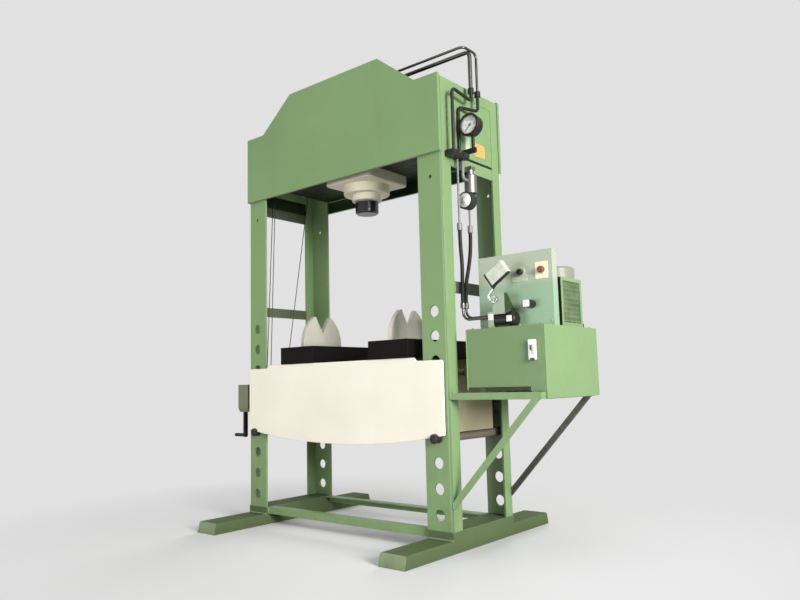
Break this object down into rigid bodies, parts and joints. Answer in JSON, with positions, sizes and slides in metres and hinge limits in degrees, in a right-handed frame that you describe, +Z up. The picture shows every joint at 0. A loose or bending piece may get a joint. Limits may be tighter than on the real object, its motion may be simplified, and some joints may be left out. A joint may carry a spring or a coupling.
{
  "type": "hydraulic power press",
  "caption": "Four-column hydraulic workshop press with an overhead ram, a pinned table lifted by a rope winch, and a side-mounted pump unit with hand valve.",
  "frame": {"origin": "on the floor, straight under the ram's axis, at the middle of the two feet", "axes": "+X to the power unit's end, +Y to the back, +Z up along the ram's axis; the control side faces -Y"},
  "size_m": [2.035, 1.176, 2.355],
  "materials": {
    "frame_green": "satin paint",
    "table_cream": "satin paint",
    "flange_cream": "satin paint",
    "ram_chrome": "polished",
    "nose_black": "oiled black",
    "steel": "machined",
    "slab_black": "oiled black",
    "vee_grey": "machined",
    "rope_steel": "stranded",
    "hose_black": "matt",
    "black_paint": "satin paint",
    "black_plastic": "matt",
    "red_plastic": "gloss",
    "grey_plastic": "matt",
    "grey_paint": "satin paint",
    "gauge_glass": "clear"
  },
  "bodies": {
    "frame": {"column_front_left": "frame_green", "column_front_right": "frame_green", "column_rear_left": "frame_green", "column_rear_right": "frame_green", "foot_left": "frame_green", "foot_right": "frame_green", "frame_ties": "frame_green", "head_front_plate": "frame_green", "head_rear_plate": "frame_green", "head_web_plates": "frame_green", "shelf_frame": "frame_green", "tank": "frame_green", "control_panel": "frame_green", "motor_body": "frame_green", "starter_box": "frame_green", "winch_housing": "frame_green", "pump": "frame_green", "cylinder_barrel": "flange_cream", "cylinder_gland": "flange_cream", "cylinder_bolts": "steel", "steel_pipes": "steel", "pulley_pins": "steel", "valve_pipes": "steel", "winch_ropes": "rope_steel", "rope_falls": "rope_steel", "hose_left": "hose_black", "hose_right": "hose_black", "pipe_loop": "black_paint", "gauge_case": "black_paint", "valve_body": "black_paint", "filler_cap": "black_plastic", "level_gauge": "grey_plastic", "motor_cowl": "grey_plastic", "relief_valve": "grey_paint", "valve_block": "grey_paint", "gauge_glass": "gauge_glass"},
    "ram": {"ram_rod": "ram_chrome", "piston": "steel", "ram_nose": "nose_black"},
    "table": {"cheek_front": "table_cream", "cheek_rear": "table_cream", "table_frame": "table_cream", "slab_left": "slab_black", "slab_right": "slab_black", "v_block_left": "vee_grey", "v_block_right": "vee_grey"},
    "left_pin": {"pin_left": "steel"},
    "right_pin": {"pin_right": "steel"},
    "rotor": {"motor_rotor": "steel"},
    "pointer": {"gauge_pointer": "black_plastic"},
    "start": {"start_button": "black_plastic"},
    "stop": {"stop_button": "red_plastic"},
    "selector": {"selector_knob": "black_plastic"},
    "lever": {"hand_lever": "grey_plastic"},
    "drum": {"winch_drum": "steel"},
    "crank": {"winch_crank": "black_paint"},
    "sheave_left_front": {"pulley_left_front": "steel"},
    "sheave_left_rear": {"pulley_left_rear": "steel"},
    "sheave_cross_left": {"pulley_cross_left": "steel"},
    "sheave_cross_right": {"pulley_cross_right": "steel"}
  },
  "joints": [
    {"name": "ram_slide", "type": "slide", "parent": "frame", "child": "ram", "axis": [0, 0, -1], "range_m": [0, 0.28]},
    {"name": "table_lift", "type": "slide", "parent": "frame", "child": "table", "axis": [0, 0, 1], "range_m": [0, 0.226], "deforming": ["rope_falls"]},
    {"name": "left_pin_pull", "type": "slide", "parent": "frame", "child": "left_pin", "axis": [0, -1, 0], "range_m": [0, 0.3]},
    {"name": "right_pin_pull", "type": "slide", "parent": "frame", "child": "right_pin", "axis": [0, -1, 0], "range_m": [0, 0.3]},
    {"name": "rotor_spin", "type": "hinge", "parent": "frame", "child": "rotor", "pos_m": [1.028, 0.16, 1.1], "axis": [0, 0, 1], "continuous": true},
    {"name": "pointer_turn", "type": "hinge", "parent": "frame", "child": "pointer", "pos_m": [0.77, -0.124, 1.936], "axis": [0, 1, 0], "range_deg": [0, 270], "stiffness_Nm_per_rad": 0.002},
    {"name": "start_press", "type": "slide", "parent": "frame", "child": "start", "axis": [0, 1, 0], "range_m": [0, 0.004], "stiffness_N_per_m": 400},
    {"name": "stop_press", "type": "slide", "parent": "frame", "child": "stop", "axis": [0, 1, 0], "range_m": [0, 0.004], "stiffness_N_per_m": 400},
    {"name": "selector_turn", "type": "hinge", "parent": "frame", "child": "selector", "pos_m": [1.046, -0.13, 1.067], "axis": [0, 1, 0], "range_deg": [0, 90]},
    {"name": "lever_swing", "type": "hinge", "parent": "frame", "child": "lever", "pos_m": [0.912, -0.193, 1.092], "axis": [0, 1, 0], "range_deg": [-12, 12]},
    {"name": "drum_turn", "type": "hinge", "parent": "frame", "child": "drum", "pos_m": [-0.63, -0.205, 0.6665], "axis": [1, 0, 0], "continuous": true},
    {"name": "crank_turn", "type": "hinge", "parent": "frame", "child": "crank", "pos_m": [-0.79, -0.205, 0.73075], "axis": [1, 0, 0], "continuous": true},
    {"name": "left_front_turn", "type": "hinge", "parent": "frame", "child": "sheave_left_front", "pos_m": [-0.64, -0.0782, 1.942], "axis": [1, 0, 0], "continuous": true},
    {"name": "left_rear_turn", "type": "hinge", "parent": "frame", "child": "sheave_left_rear", "pos_m": [-0.64, 0.1275, 1.942], "axis": [1, 0, 0], "continuous": true},
    {"name": "cross_left_turn", "type": "hinge", "parent": "frame", "child": "sheave_cross_left", "pos_m": [-0.5675, -0.13, 1.942], "axis": [0, 1, 0], "continuous": true},
    {"name": "cross_right_turn", "type": "hinge", "parent": "frame", "child": "sheave_cross_right", "pos_m": [0.6025, -0.13, 1.942], "axis": [0, 1, 0], "continuous": true}
  ],
  "couplings": [
    {"joint": "drum_turn", "follows": "table_lift", "rad_per_m": -37.313},
    {"joint": "crank_turn", "follows": "table_lift", "rad_per_m": 161.69},
    {"joint": "left_front_turn", "follows": "table_lift", "rad_per_m": 26.667},
    {"joint": "left_rear_turn", "follows": "table_lift", "rad_per_m": 26.667},
    {"joint": "cross_left_turn", "follows": "table_lift", "rad_per_m": -26.667},
    {"joint": "cross_right_turn", "follows": "table_lift", "rad_per_m": -26.667}
  ]
}
